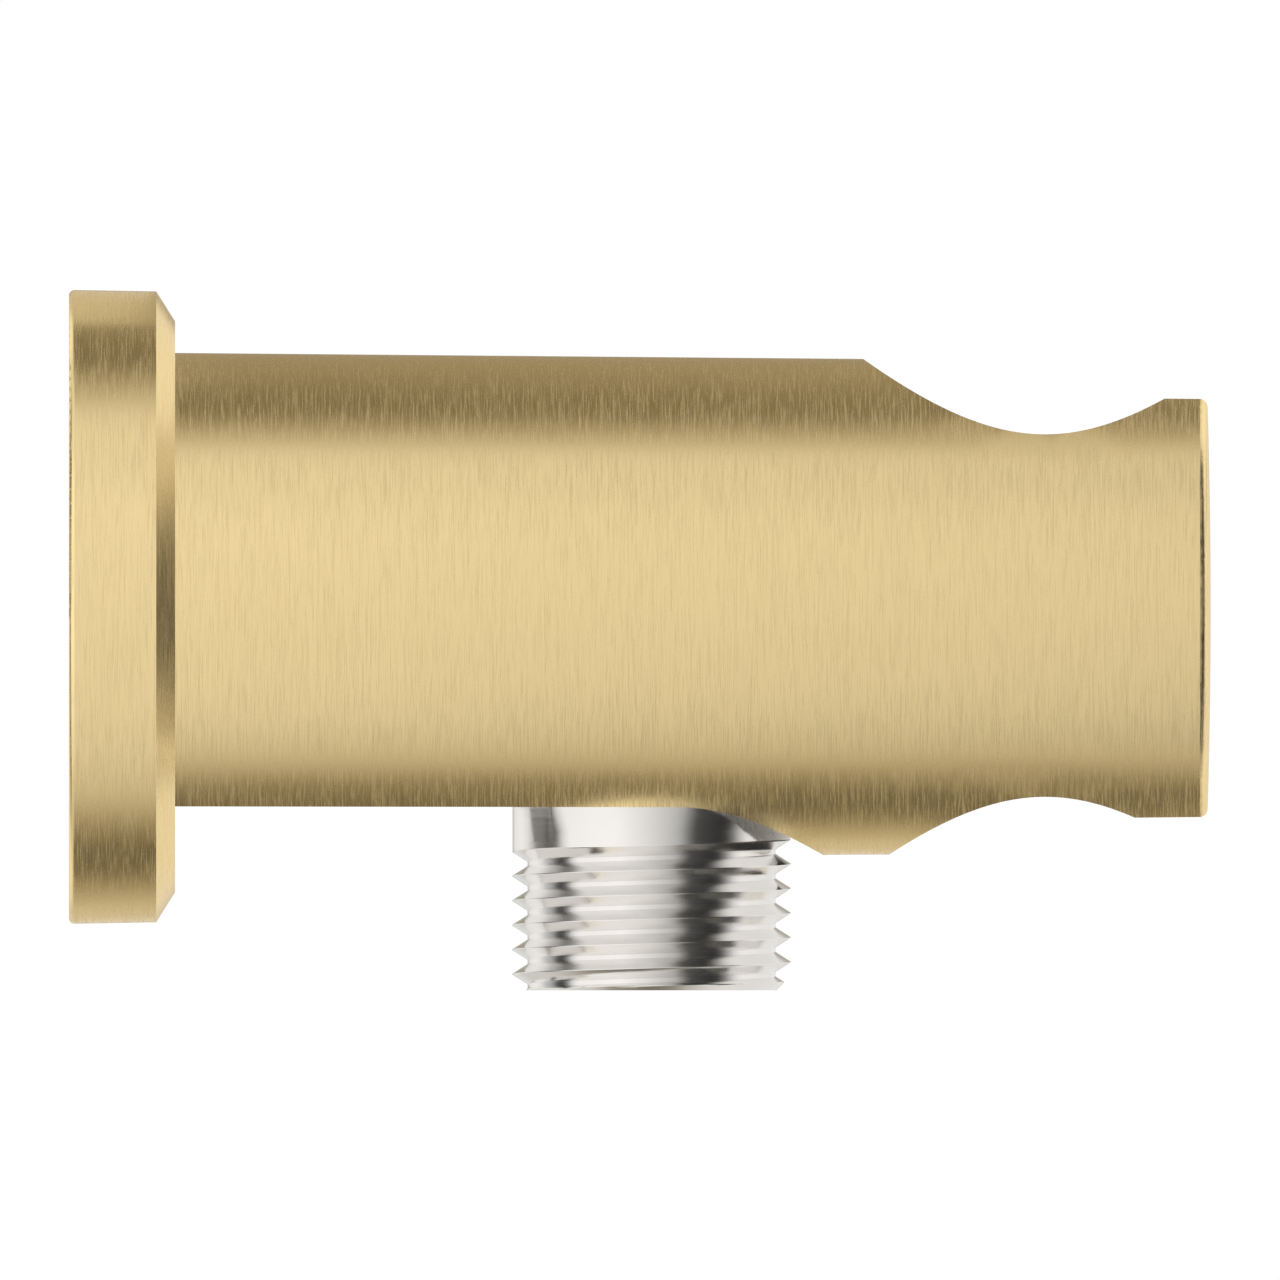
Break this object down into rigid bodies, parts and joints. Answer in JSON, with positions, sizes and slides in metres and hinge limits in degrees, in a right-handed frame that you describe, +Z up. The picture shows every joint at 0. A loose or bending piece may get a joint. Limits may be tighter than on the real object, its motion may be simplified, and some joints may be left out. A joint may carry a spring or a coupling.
{
  "type": "wall outlet elbow",
  "caption": "Wall outlet elbow for a hand shower: round rosette, sleeve ending in a coned handset holder, and a threaded outlet pointing down.",
  "frame": {"origin": "where the axis of the sleeve meets the wall", "axes": "+X out of the wall along the sleeve, +Z up, away from the outlet"},
  "size_m": [0.0865, 0.048, 0.0531],
  "materials": {
    "brushed_gold": "brushed",
    "bright_silver": "polished",
    "dark_plastic": "satin",
    "white_plastic": "satin",
    "black_rubber": "matte",
    "foam": "matte",
    "stainless_steel": "plain"
  },
  "bodies": {
    "fitting": {"wall_rosette": "brushed_gold", "wall_gasket": "foam", "rosette_o_ring": "black_rubber", "holder_sleeve": "brushed_gold", "holder_liner": "dark_plastic", "outlet_elbow": "bright_silver", "sleeve_o_ring": "black_rubber", "inlet_washer": "black_rubber", "sleeve_screw": "stainless_steel", "valve_housing": "white_plastic", "valve_o_ring": "black_rubber", "valve_guide": "white_plastic", "valve_spring": "stainless_steel"},
    "poppet": {"valve_poppet": "white_plastic", "poppet_seal": "black_rubber"}
  },
  "joints": [
    {"name": "poppet_slide", "type": "slide", "parent": "fitting", "child": "poppet", "axis": [0, 0, -1], "range_m": [0, 0.0025], "stiffness_N_per_m": 100, "springref_m": -0.0048, "deforming": ["valve_spring"]}
  ]
}
